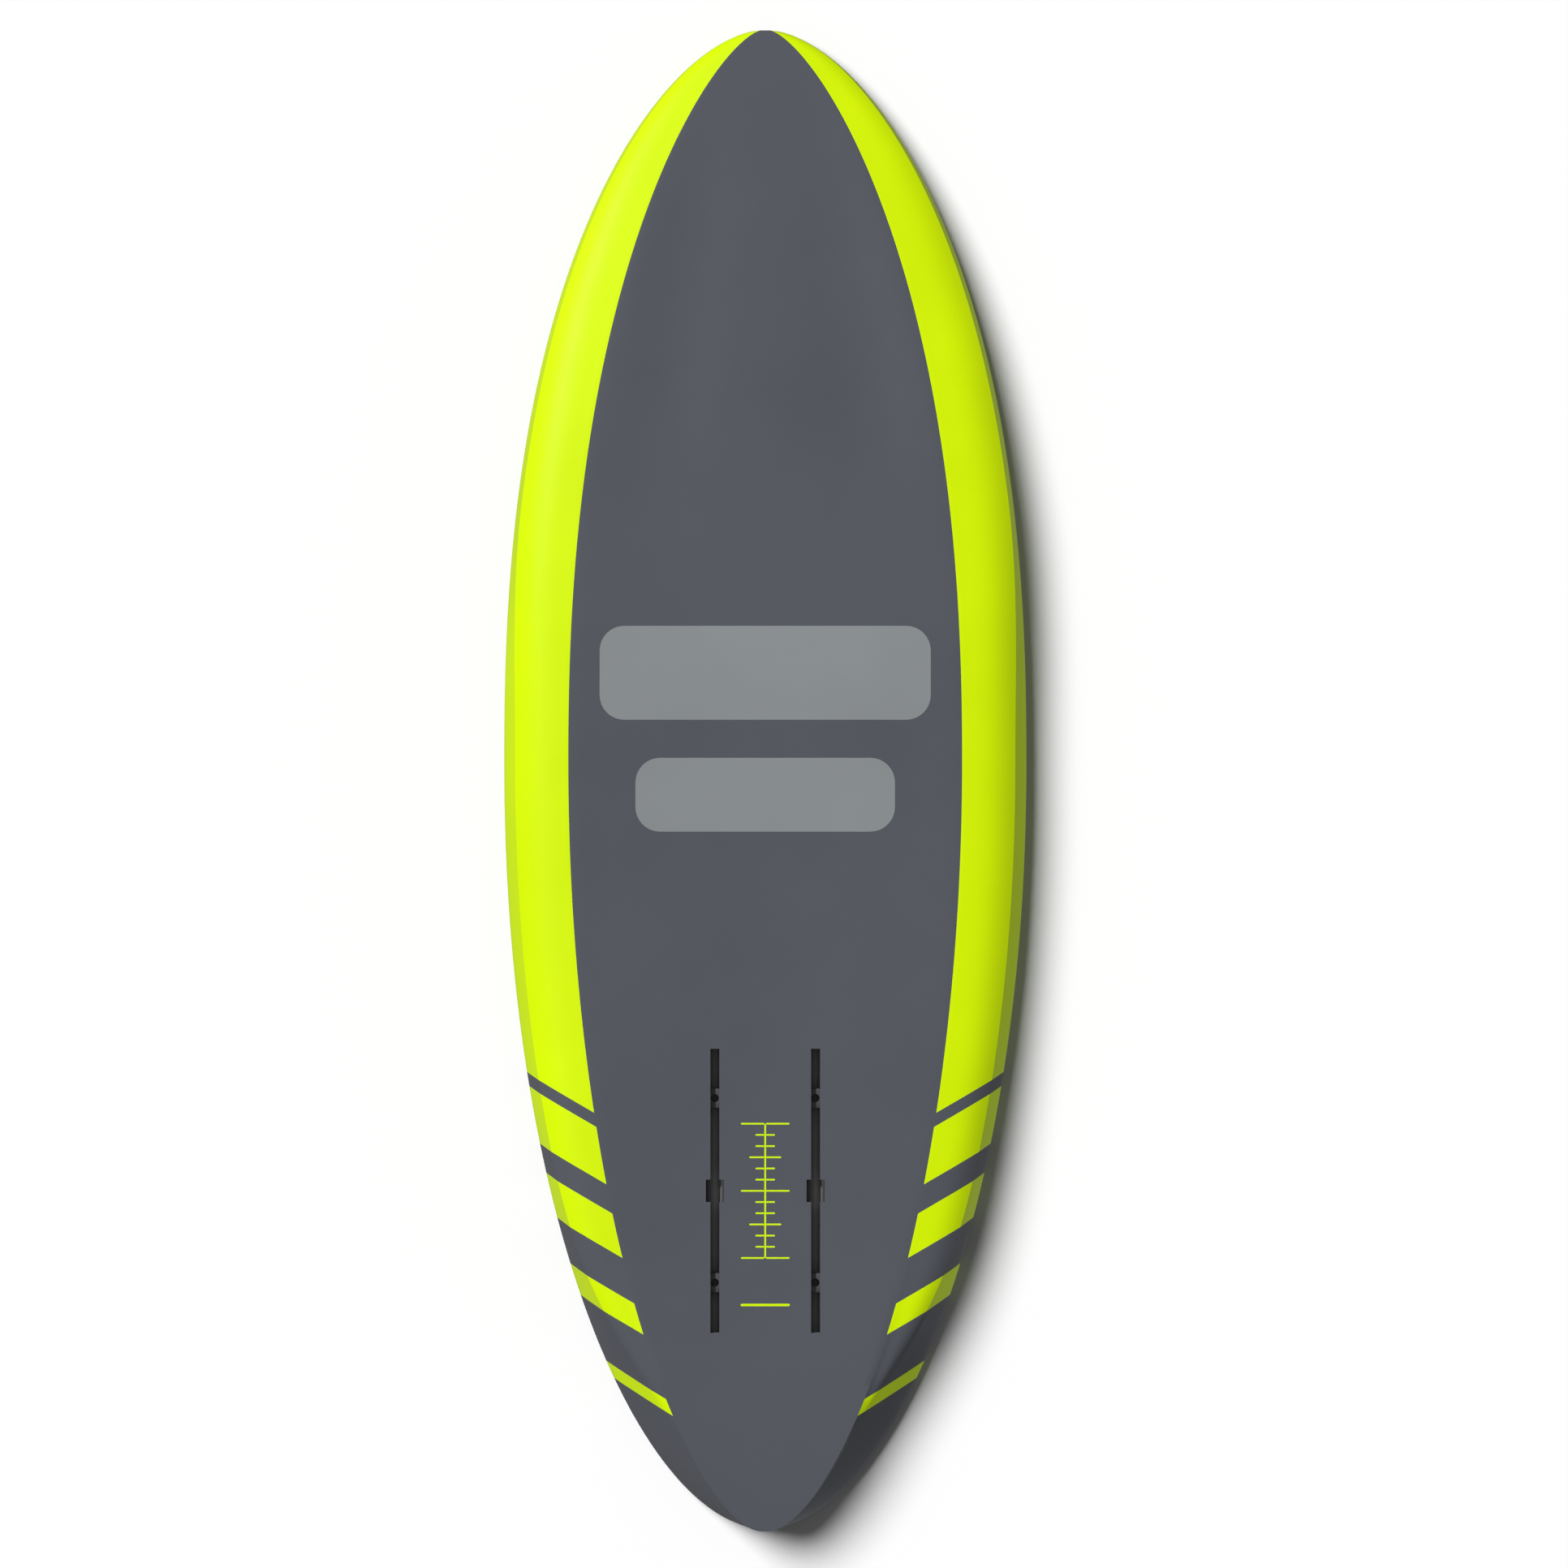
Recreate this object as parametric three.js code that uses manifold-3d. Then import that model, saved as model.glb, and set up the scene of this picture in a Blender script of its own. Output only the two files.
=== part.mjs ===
// A short hydrofoil board of sandwich construction, hull side up and lying on its deck pads.
// Millimetres. +Z points out of the hull, +Y towards the nose, +X to the right of a viewer who
// faces the hull with the nose away from them. The pads' outer faces lie in the plane z = 0.
import * as THREE from 'three';
import { mergeVertices } from 'three/addons/utils/BufferGeometryUtils.js';
import Module from 'manifold-3d';

const wasm = await Module();
wasm.setup();

const { lerp, smoothstep } = THREE.MathUtils;

const GAP = 0.3; // clearance left between glued neighbours

// Whole board
const LENGTH = 1346;
const WIDTH = 469;
const PAD = 6; // thickness of the deck pads, so the deck lies at z = PAD
const THICKNESS = 71;
const SKIN = 2;
const WIDEST_Y = 15;

// Plan curves, half = tip + (middle - tip) * (1 - s^fullness)^taper, with s from the widest line to a tip.
// tip is the half width of the blunt nose and tail, and nose and tail are [fullness, taper].
const OUTLINE = { middle: WIDTH / 2, tip: 6.5, nose: [2.374, 0.597], tail: [2.05, 0.553] };
const PANEL = { middle: 176, tip: 4, nose: [2.27, 0.7], tail: [1.98, 0.61] };

// Side curves
const NOSE_ROCKER = 56;
const NOSE_ROCKER_START = -90;
const TAIL_ROCKER = 8;
const TAIL_ROCKER_START = -510;
const DECK_KICK = 3;
const DECK_KICK_START = 450;
const DECK_FLAT_SHARE = 0.66; // flat part of the deck over the outline's half width

// Section of the rail, as [amidships, tail]; it turns from one to the other along BEVEL_Y.
// It curves from the panel down to a tight bend, and goes on down a steep side to the widest line.
const BEVEL_Y = [-610, -150];
const SIDE_WIDTH_ONSET = 6; // powers that keep the steep side narrow
const CREASE_ONSET = 8; // and the crease soft until close to the tail
const RAIL = {
  height: [0.33, 0.1], // of the widest line, as a share of the way from deck to hull
  sideWidth: [0.18, 0.93], // of the steep side in plan, over the rail's width
  sideHeight: [0.64, 0.9], // of the steep side, over the height from the widest line to the panel
  crease: [0.13, 0.85], // slope at which the rail leaves the panel, in radians
  bend: [0.7, 0.9], // slope at which it reaches the bend, in radians
};
const NOSE_SIDE_WIDTH = 0.08; // the steep side's share of the rail's width ahead of NARROWING_Y
const NARROWING_Y = [20, 250];
const CURVE_HANDLES = [0.4, 0.35]; // of the curve down to the bend, over its width
const LEAST_FALL = 0.1; // of the second handle below the panel, over the curve's height
const SIDE_HANDLES = [[0.45, 0.4], [1, 0.88]]; // over the steep side's width and height
const LEAST_RAIL = 0.8; // width of the rail where the panel meets the tips
const DECK_EDGE = { rise: 0.5, run: 0.35 }; // handles of the deck's rounded edge, over its height and width

// Double concave of the hull panel
const CONCAVE = 3.2;
const CONCAVE_Y = [120, 650];
const CONCAVE_SKEW = 1.3; // moves each concave's deepest line outboard

// Mesh fineness
const STATIONS_PER_END = 13;
const PANEL_STEPS = [0, 0.3, 0.5, 0.68, 0.84, 1];
const CURVE_STEPS = 4;
const SIDE_STEPS = 3;
const DECK_STEPS = 5;
const ROUND_SIDES = 16;
const DECK_SHAPE_STEPS = 10;
const OVERCUT = 1; // how far a cutting tool reaches past the surface it opens
const SAME_POINT = 1e-4; // vertices closer than this are merged
const SKIN_OVERLAP = 3 * SKIN; // how far a skin's inner form runs past the widest line
const TALL = 2 * THICKNESS; // height of a cutter that passes right through the board

// Stringers, foil box and tracks
const STRINGER_X = 60.3;
const STRINGER = 3.6;
const TRACK_X = 45; // the tracks are 90 mm apart
const TRACK_Y = -368;
const SLOT = { width: 8, length: 254 };
const ENTRY = { width: 16, length: 20 }; // the opening that lets a nut into the channel
const TRACK = { width: 26, length: 270, depth: 25, flange: 4 };
const CHANNEL = { width: 16.4, height: 9 };
const GROOVE = { width: 9.4, depth: 6 }; // room for a bolt's end below the nut
const BLOCK = { width: 120, length: 300 };
const NUT = { width: 15.6, length: 18, height: 7.8, bore: 4 };
const NUT_SPACING = 165; // pitch of a foil plate's bolts along the board

// Deck fittings
const VENT_Y = 390;
const VENT = { flange: 18, body: 13, depth: 22, clearance: 0.7 };
const VENT_HEAD = { radius: 9, height: 3.5, recess: 0.5, slotLength: 13, slotWidth: 1.6, slotDepth: 1.5 };
const VENT_SHANK = { radius: 4.5, length: 12 };
const VENT_SEAL = { inner: 5.2, outer: 8, height: 2 };
const LEASH_Y = -632;
const LEASH = { flange: 17, body: 14, depth: 22, bowl: 11, bowlDepth: 16 };
const LEASH_BAR = { radius: 2.5, length: 25, depth: 5 };
const SHEET = 3; // high-density sandwich sheet under the standing area
const STANDING = { rear: -600, front: 320 };
const INSERT = { flange: 10, flangeHeight: SKIN, body: 8, depth: 22, bore: 3.2, boreDepth: 18 };
const STRAP_INSERTS = [
  ['front_left_inner', -45, 175],
  ['front_left_outer', -120, 130],
  ['front_right_inner', 45, 175],
  ['front_right_outer', 120, 130],
  ['rear_left', -80, -330],
  ['rear_right', 80, -330],
];
const PAD_INSET = 10; // from the edge of the flat deck
const PAD_SEAM = 8;
const PAD_HOLE = 13;
const FRONT_PADS = { rear: 0, front: 300 };
const REAR_PADS = { rear: -515, front: -PAD_SEAM };
const TAIL_PAD = { rear: STANDING.rear, front: REAR_PADS.rear - PAD_SEAM };

const HULL_Z = PAD + THICKNESS;
const TRACK_TOP = HULL_Z - SKIN - GAP;
const CHANNEL_TOP = TRACK_TOP - TRACK.flange;
const CHANNEL_FLOOR = CHANNEL_TOP - CHANNEL.height;

const MATERIALS = {
  grey_paint: { color: 0x57595f, roughness: 0.35, metalness: 0 },
  lime_paint: { color: 0xd6f700, roughness: 0.3, metalness: 0 },
  foam: { color: 0xf3f3ee, roughness: 0.9, metalness: 0 },
  dense_foam: { color: 0xd9c98c, roughness: 0.9, metalness: 0 },
  wood: { color: 0xc79a62, roughness: 0.7, metalness: 0 },
  black_plastic: { color: 0x141516, roughness: 0.5, metalness: 0 },
  black_steel: { color: 0x1b1c1e, roughness: 0.4, metalness: 0.9 },
  steel: { color: 0xb8bbbf, roughness: 0.3, metalness: 1 },
  seal_rubber: { color: 0x101010, roughness: 0.8, metalness: 0 },
  pad_foam: { color: 0x2b2d30, roughness: 0.95, metalness: 0 },
};

// ---- solids ----

function solid(geometry) {
  const bare = geometry.clone();
  bare.deleteAttribute('normal');
  bare.deleteAttribute('uv');
  const merged = mergeVertices(bare, SAME_POINT);
  return new wasm.Manifold(
    new wasm.Mesh({
      numProp: 3,
      vertProperties: merged.attributes.position.array,
      triVerts: new Uint32Array(merged.index.array),
    })
  );
}

function geometryOf(manifold) {
  const mesh = manifold.getMesh();
  const geometry = new THREE.BufferGeometry();
  geometry.setAttribute('position', new THREE.BufferAttribute(mesh.vertProperties, mesh.numProp));
  geometry.setIndex(new THREE.BufferAttribute(mesh.triVerts, 1));
  geometry.computeVertexNormals();
  return geometry;
}

// A box by its size, its centre in plan and the height of its underside.
function box(width, length, height, x, y, low) {
  return solid(new THREE.BoxGeometry(width, length, height).translate(x, y, low + height / 2));
}

// A solid turned about a vertical axis from [radius, z] pairs that start and end on the axis.
function turned(profile, x, y) {
  const points = profile.map(([radius, z]) => new THREE.Vector2(radius, z));
  return solid(new THREE.LatheGeometry(points, ROUND_SIDES).rotateX(Math.PI / 2).translate(x, y, 0));
}

function disc(radius, low, high, x, y) {
  return turned([[0, low], [radius, low], [radius, high], [0, high]], x, y);
}

// A closed skin through rings of equal length, with a fan over each end.
function loft(rings) {
  const count = rings[0].length;
  const positions = rings.flat().flatMap((point) => point.toArray());
  const index = [];
  for (let r = 0; r + 1 < rings.length; r++) {
    for (let i = 0; i < count; i++) {
      const a = r * count + i;
      const b = r * count + ((i + 1) % count);
      index.push(a, b, b + count, a, b + count, a + count);
    }
  }
  for (const [r, flip] of [[0, true], [rings.length - 1, false]]) {
    const centre = new THREE.Vector3();
    rings[r].forEach((point) => centre.add(point));
    centre.divideScalar(count);
    positions.push(...centre.toArray());
    const hub = positions.length / 3 - 1;
    for (let i = 0; i < count; i++) {
      const a = r * count + i;
      const b = r * count + ((i + 1) % count);
      index.push(hub, flip ? b : a, flip ? a : b);
    }
  }
  const geometry = new THREE.BufferGeometry();
  geometry.setAttribute('position', new THREE.Float32BufferAttribute(positions, 3));
  geometry.setIndex(index);
  return solid(geometry);
}

// ---- hull form ----

function towardsTip(y) {
  return y > WIDEST_Y ? (y - WIDEST_Y) / (LENGTH / 2 - WIDEST_Y) : (WIDEST_Y - y) / (LENGTH / 2 + WIDEST_Y);
}

function halfWidth(curve, y) {
  const [fullness, taper] = y > WIDEST_Y ? curve.nose : curve.tail;
  const s = Math.min(towardsTip(y), 1);
  return lerp(curve.tip, curve.middle, (1 - s ** fullness) ** taper);
}

function hullHeight(y) {
  const nose = Math.max(0, (y - NOSE_ROCKER_START) / (LENGTH / 2 - NOSE_ROCKER_START));
  const tail = Math.max(0, (TAIL_ROCKER_START - y) / (LENGTH / 2 + TAIL_ROCKER_START));
  return HULL_Z - NOSE_ROCKER * nose ** 3 - TAIL_ROCKER * tail ** 2;
}

function deckHeight(y) {
  const nose = Math.max(0, (y - DECK_KICK_START) / (LENGTH / 2 - DECK_KICK_START));
  return PAD - DECK_KICK * nose ** 2;
}

// Depth of the double concave at a share of the panel's half width.
function concave(y, share) {
  const [rear, front] = CONCAVE_Y;
  const along = THREE.MathUtils.clamp((y - rear) / (front - rear), 0, 1);
  return CONCAVE * Math.sin(Math.PI * along) ** 2 * Math.sin(Math.PI * share ** CONCAVE_SKEW) ** 2;
}

// How far the section has turned from the soft middle rail to the bevelled tail, 0 to 1.
function tailShare(y) {
  return 1 - smoothstep(y, ...BEVEL_Y);
}

function railHeight(y) {
  return lerp(deckHeight(y), hullHeight(y), lerp(...RAIL.height, tailShare(y)));
}

// Width of the steep side over the rail's width.
function sideWidth(y) {
  const ahead = lerp(RAIL.sideWidth[0], NOSE_SIDE_WIDTH, smoothstep(y, ...NARROWING_Y));
  return lerp(ahead, RAIL.sideWidth[1], tailShare(y) ** SIDE_WIDTH_ONSET);
}

// The hull's side of the rail: a curve from the panel's edge to the bend, and the steep side below it.
function railCurves(y, panel, half, top) {
  const tail = tailShare(y);
  const low = railHeight(y);
  const bendHeight = lerp(low, top, lerp(...RAIL.sideHeight, tail));
  const bend = new THREE.Vector2(lerp(half, panel, sideWidth(y)), bendHeight);
  const run = bend.x - panel;
  const leaving = Math.tan(lerp(...RAIL.crease, tail ** CREASE_ONSET));
  const arriving = Math.tan(lerp(...RAIL.bend, tail));
  const [first, last] = CURVE_HANDLES.map((share) => share * run);
  const highest = lerp(top, bend.y, LEAST_FALL);
  const curve = new THREE.CubicBezierCurve(
    new THREE.Vector2(panel, top),
    new THREE.Vector2(panel + first, top - leaving * first),
    new THREE.Vector2(bend.x - last, Math.min(bend.y + arriving * last, highest)),
    bend
  );
  const sideHandle = ([x, z]) => new THREE.Vector2(lerp(bend.x, half, x), lerp(bend.y, low, z));
  const handles = SIDE_HANDLES.map(sideHandle);
  const side = new THREE.CubicBezierCurve(bend, ...handles, new THREE.Vector2(half, low));
  return [...curve.getPoints(CURVE_STEPS), ...side.getPoints(SIDE_STEPS).slice(1)];
}

// The right half of the hull's section at y, from the centreline out to the widest line.
function hullProfile(y, inset) {
  const half = halfWidth(OUTLINE, y) - inset;
  const panel = Math.min(halfWidth(PANEL, y), half + inset - LEAST_RAIL) - inset;
  const top = hullHeight(y) - inset;
  const flat = PANEL_STEPS.map((share) => new THREE.Vector2(share * panel, top - concave(y, share)));
  return [...flat, ...railCurves(y, panel, half, top).slice(1)];
}

// The right half of the deck's section at y, from the widest line in to the centreline.
function deckProfile(y, inset) {
  const half = halfWidth(OUTLINE, y) - inset;
  const flat = DECK_FLAT_SHARE * half;
  const low = deckHeight(y) + inset;
  const high = railHeight(y);
  const edge = new THREE.CubicBezierCurve(
    new THREE.Vector2(half, high),
    new THREE.Vector2(half, lerp(high, low, DECK_EDGE.rise)),
    new THREE.Vector2(lerp(half, flat, DECK_EDGE.run), low),
    new THREE.Vector2(flat, low)
  );
  return [...edge.getPoints(DECK_STEPS), new THREE.Vector2(0, low)];
}

function mirrored(profile) {
  return profile.map((point) => new THREE.Vector2(-point.x, point.y)).reverse();
}

// Lofts sectionAt(y) from tail to nose, with the stations closer together towards the tips.
// An inner skin keeps the sections of the outer one, moved in from the tips by the inset.
function loftAlong(inset, sectionAt) {
  const rings = [];
  for (let i = -STATIONS_PER_END; i <= STATIONS_PER_END; i++) {
    const share = Math.sin((i / STATIONS_PER_END) * (Math.PI / 2));
    const y = share * (LENGTH / 2);
    const placed = share * (LENGTH / 2 - inset);
    rings.push(sectionAt(y).map((point) => new THREE.Vector3(point.x, placed, point.y)));
  }
  return loft(rings);
}

function boardBody(inset) {
  return loftAlong(inset, (y) => {
    const right = [...hullProfile(y, inset), ...deckProfile(y, inset).slice(1)];
    return [...mirrored(right.slice(1, -1)), ...right];
  });
}

// The half on the hull side of the widest line; drop carries its flat side past that line.
function hullHalf(inset, drop) {
  return loftAlong(inset, (y) => {
    const right = hullProfile(y, inset);
    const end = right.at(-1);
    end.y += GAP / 2;
    const closing = drop ? [new THREE.Vector2(end.x, end.y - drop)] : [];
    const side = [...right, ...closing];
    return [...mirrored(side.slice(1)), ...side];
  });
}

function deckHalf(inset, rise) {
  return loftAlong(inset, (y) => {
    const right = deckProfile(y, inset);
    const start = right[0];
    start.y -= GAP / 2;
    const opening = rise ? [new THREE.Vector2(start.x, start.y + rise)] : [];
    const side = [...opening, ...right];
    return [...side, ...mirrored(side.slice(0, -1))];
  });
}

// ---- places of the fittings ----

const SIDES = [['left', -1], ['right', 1]];

function trackPocket(side, grow) {
  const depth = TRACK.depth + grow;
  return box(
    TRACK.width + 2 * grow,
    TRACK.length + 2 * grow,
    depth + SKIN,
    side * TRACK_X,
    TRACK_Y,
    TRACK_TOP - depth
  );
}

// The slot and the nuts' entry, from the height low up past the hull's surface.
function trackMouth(side, low) {
  const height = HULL_Z + OVERCUT - low;
  const slot = box(SLOT.width, SLOT.length, height, side * TRACK_X, TRACK_Y, low);
  const entry = box(ENTRY.width, ENTRY.length, height, side * TRACK_X, TRACK_Y, low);
  return slot.add(entry);
}

function insertHole(x, y, grow) {
  const flange = disc(INSERT.flange + grow, PAD - OVERCUT, PAD + INSERT.flangeHeight + grow, x, y);
  const body = disc(INSERT.body + grow, PAD, PAD + INSERT.depth + grow, x, y);
  return flange.add(body);
}

function roundFittingHole({ flange, body, depth }, y, grow) {
  const rim = disc(flange + grow, PAD - OVERCUT, PAD + SKIN + grow, 0, y);
  return rim.add(disc(body + grow, PAD, PAD + depth + grow, 0, y));
}

function blockSpace(grow) {
  return box(BLOCK.width + 2 * grow, BLOCK.length + 2 * grow, TALL, 0, TRACK_Y, 0);
}

// The outline of the standing area's flat deck, moved in by an inset.
function flatDeckShape(inset, rear, front, inner, side) {
  const outer = [];
  for (let i = 0; i <= DECK_SHAPE_STEPS; i++) {
    const y = lerp(rear, front, i / DECK_SHAPE_STEPS);
    outer.push(new THREE.Vector2(side * (DECK_FLAT_SHARE * halfWidth(OUTLINE, y) - inset), y));
  }
  const start = new THREE.Vector2(inner, rear);
  const end = new THREE.Vector2(inner, front);
  return [start, ...outer, end];
}

function plate(points, low, high) {
  const geometry = new THREE.ExtrudeGeometry(new THREE.Shape(points), {
    depth: high - low,
    bevelEnabled: false,
  });
  return solid(geometry.translate(0, 0, low));
}

function sheetSpace(grow) {
  const rear = STANDING.rear - grow;
  const front = STANDING.front + grow;
  const right = flatDeckShape(PAD_INSET - grow, rear, front, 0, 1).slice(1, -1);
  const points = [...right, ...mirrored(right)];
  const low = PAD + SKIN + GAP;
  return plate(points, low - grow, low + SHEET + grow);
}

function cutAll(body, cutters) {
  return cutters.reduce((left, cutter) => left.subtract(cutter), body);
}

function deckFittingHoles(grow) {
  const inserts = STRAP_INSERTS.map(([, x, y]) => insertHole(x, y, grow));
  return [...inserts, roundFittingHole(VENT, VENT_Y, grow), roundFittingHole(LEASH, LEASH_Y, grow)];
}

// ---- pieces ----

const board = new THREE.Group();

function piece(name, manifold, material) {
  const mesh = new THREE.Mesh(geometryOf(manifold), new THREE.MeshStandardMaterial(MATERIALS[material]));
  mesh.name = name;
  board.add(mesh);
}

function makeSkins() {
  const hull = hullHalf(0, 0).subtract(hullHalf(SKIN, SKIN_OVERLAP));
  const mouths = SIDES.map(([, side]) => trackMouth(side, TRACK_TOP - OVERCUT));
  piece('bottom_skin', cutAll(hull, mouths), 'grey_paint');
  const deck = deckHalf(0, 0).subtract(deckHalf(SKIN, SKIN_OVERLAP));
  piece('deck_skin', cutAll(deck, deckFittingHoles(GAP)), 'lime_paint');
}

// The foam core, its stringers and the foil box are all cut from one inner form.
function makeCore() {
  const inner = boardBody(SKIN + GAP);
  const outerX = STRINGER_X + STRINGER + GAP;
  const innerX = STRINGER_X - GAP;
  const block = blockSpace(GAP);
  const sheet = sheetSpace(GAP);
  const holes = deckFittingHoles(GAP);
  const core = cutAll(inner, [sheet, ...holes]);
  for (const [name, side] of SIDES) {
    const far = box(WIDTH, LENGTH, TALL, side * (outerX + WIDTH / 2), 0, 0);
    piece(`core_${name}`, core.intersect(far), 'foam');
    const strip = box(STRINGER, LENGTH, TALL, side * (STRINGER_X + STRINGER / 2), 0, 0);
    piece(`stringer_${name}`, core.intersect(strip), 'wood');
  }
  const middle = core.intersect(box(2 * innerX, LENGTH, TALL, 0, 0, 0)).subtract(block);
  const [tail, front] = middle.decompose().sort((a, b) => a.boundingBox().min[1] - b.boundingBox().min[1]);
  piece('core_centre_tail', tail, 'foam');
  piece('core_centre_front', front, 'foam');
  const pockets = SIDES.map(([, side]) => trackPocket(side, GAP));
  piece('foil_box_block', cutAll(core.intersect(blockSpace(0)), pockets), 'dense_foam');
  piece('deck_sandwich_sheet', cutAll(sheetSpace(0), holes), 'dense_foam');
}

function makeTracks() {
  const ends = [['front', 1], ['rear', -1]];
  for (const [name, side] of SIDES) {
    const x = side * TRACK_X;
    const low = TRACK_TOP - TRACK.depth;
    const body = box(TRACK.width, TRACK.length, TRACK.depth, x, TRACK_Y, low);
    const track = cutAll(body, [
      trackMouth(side, CHANNEL_TOP - OVERCUT),
      box(CHANNEL.width, SLOT.length, CHANNEL.height, x, TRACK_Y, CHANNEL_FLOOR),
      box(GROOVE.width, SLOT.length, GROOVE.depth + OVERCUT, x, TRACK_Y, CHANNEL_FLOOR - GROOVE.depth),
    ]);
    piece(`track_${name}`, track, 'black_plastic');
    for (const [end, way] of ends) {
      const y = TRACK_Y + (way * NUT_SPACING) / 2;
      const nut = box(NUT.width, NUT.length, NUT.height, x, y, CHANNEL_FLOOR + GAP);
      const bore = disc(NUT.bore, CHANNEL_FLOOR, CHANNEL_TOP, x, y);
      piece(`t_nut_${name}_${end}`, nut.subtract(bore), 'black_steel');
    }
  }
}

function makeStrapInserts() {
  for (const [name, x, y] of STRAP_INSERTS) {
    const { flange, flangeHeight, body, depth, bore, boreDepth } = INSERT;
    const insert = turned(
      [
        [0, PAD + boreDepth],
        [bore, PAD + boreDepth],
        [bore, PAD],
        [flange, PAD],
        [flange, PAD + flangeHeight],
        [body, PAD + flangeHeight],
        [body, PAD + depth],
        [0, PAD + depth],
      ],
      x,
      y
    );
    piece(`strap_insert_${name}`, insert, 'black_plastic');
  }
}

// Pressure vent: a housing let into the deck, a slotted screw and the ring that seals under its head.
function makeVent() {
  const head = VENT_HEAD.radius;
  const shank = VENT_SHANK.radius;
  const headTop = PAD + VENT_HEAD.recess;
  const headFloor = headTop + VENT_HEAD.height;
  const sealLow = headFloor + GAP;
  const sealHigh = sealLow + VENT_SEAL.height;
  const sealFloor = sealHigh + GAP;
  const bottom = sealFloor + VENT_SHANK.length;
  const housing = [
    [0, bottom + VENT.clearance],
    [shank + VENT.clearance, bottom + VENT.clearance],
    [shank + VENT.clearance, sealFloor],
    [head + VENT.clearance, sealFloor],
    [head + VENT.clearance, PAD],
    [VENT.flange, PAD],
    [VENT.flange, PAD + SKIN],
    [VENT.body, PAD + SKIN],
    [VENT.body, PAD + VENT.depth],
    [0, PAD + VENT.depth],
  ];
  piece('vent_housing', turned(housing, 0, VENT_Y), 'black_plastic');
  const screw = [
    [0, headTop],
    [head, headTop],
    [head, headFloor],
    [shank, headFloor],
    [shank, bottom],
    [0, bottom],
  ];
  const { slotLength, slotWidth, slotDepth } = VENT_HEAD;
  const slot = box(slotLength, slotWidth, slotDepth + OVERCUT, 0, VENT_Y, headTop - OVERCUT);
  piece('vent_screw', turned(screw, 0, VENT_Y).subtract(slot), 'steel');
  const ring = [
    [VENT_SEAL.inner, sealLow],
    [VENT_SEAL.outer, sealLow],
    [VENT_SEAL.outer, sealHigh],
    [VENT_SEAL.inner, sealHigh],
    [VENT_SEAL.inner, sealLow],
  ];
  piece('vent_seal', turned(ring, 0, VENT_Y), 'seal_rubber');
}

// Leash plug: an open cup let into the deck with a steel bar across it.
function makeLeashPlug() {
  const cup = [
    [0, PAD + LEASH.bowlDepth],
    [LEASH.bowl, PAD + LEASH.bowlDepth],
    [LEASH.bowl, PAD],
    [LEASH.flange, PAD],
    [LEASH.flange, PAD + SKIN],
    [LEASH.body, PAD + SKIN],
    [LEASH.body, PAD + LEASH.depth],
    [0, PAD + LEASH.depth],
  ];
  const barAt = (grow) => {
    const radius = LEASH_BAR.radius + grow;
    const rod = new THREE.CylinderGeometry(radius, radius, LEASH_BAR.length + 2 * grow, ROUND_SIDES);
    return solid(rod.rotateZ(Math.PI / 2).translate(0, LEASH_Y, PAD + LEASH_BAR.depth));
  };
  piece('leash_plug_cup', turned(cup, 0, LEASH_Y).subtract(barAt(GAP)), 'black_plastic');
  piece('leash_bar', barAt(0), 'steel');
}

// Traction pads: two front, two rear and one across the tail, with holes over the strap inserts.
function makePads() {
  const holes = STRAP_INSERTS.map(([, x, y]) => disc(PAD_HOLE, -OVERCUT, PAD + OVERCUT, x, y));
  for (const [row, { rear, front }] of [['front_pad', FRONT_PADS], ['rear_pad', REAR_PADS]]) {
    for (const [name, side] of SIDES) {
      const shape = flatDeckShape(PAD_INSET, rear, front, (side * PAD_SEAM) / 2, side);
      piece(`${row}_${name}`, cutAll(plate(shape, 0, PAD - GAP), holes), 'pad_foam');
    }
  }
  const tail = flatDeckShape(PAD_INSET, TAIL_PAD.rear, TAIL_PAD.front, 0, 1).slice(1, -1);
  piece('tail_pad', plate([...tail, ...mirrored(tail)], 0, PAD - GAP), 'pad_foam');
}

makeSkins();
makeCore();
makeTracks();
makeStrapInserts();
makeVent();
makeLeashPlug();
makePads();

export default board;
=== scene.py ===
"""The looks of the foil board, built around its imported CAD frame.

Metres, in the frame of the CAD: the board lies on its deck pads, hull up, nose towards +Y.
"""

import math

import bmesh
import bpy
from mathutils import Matrix, Vector


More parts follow.
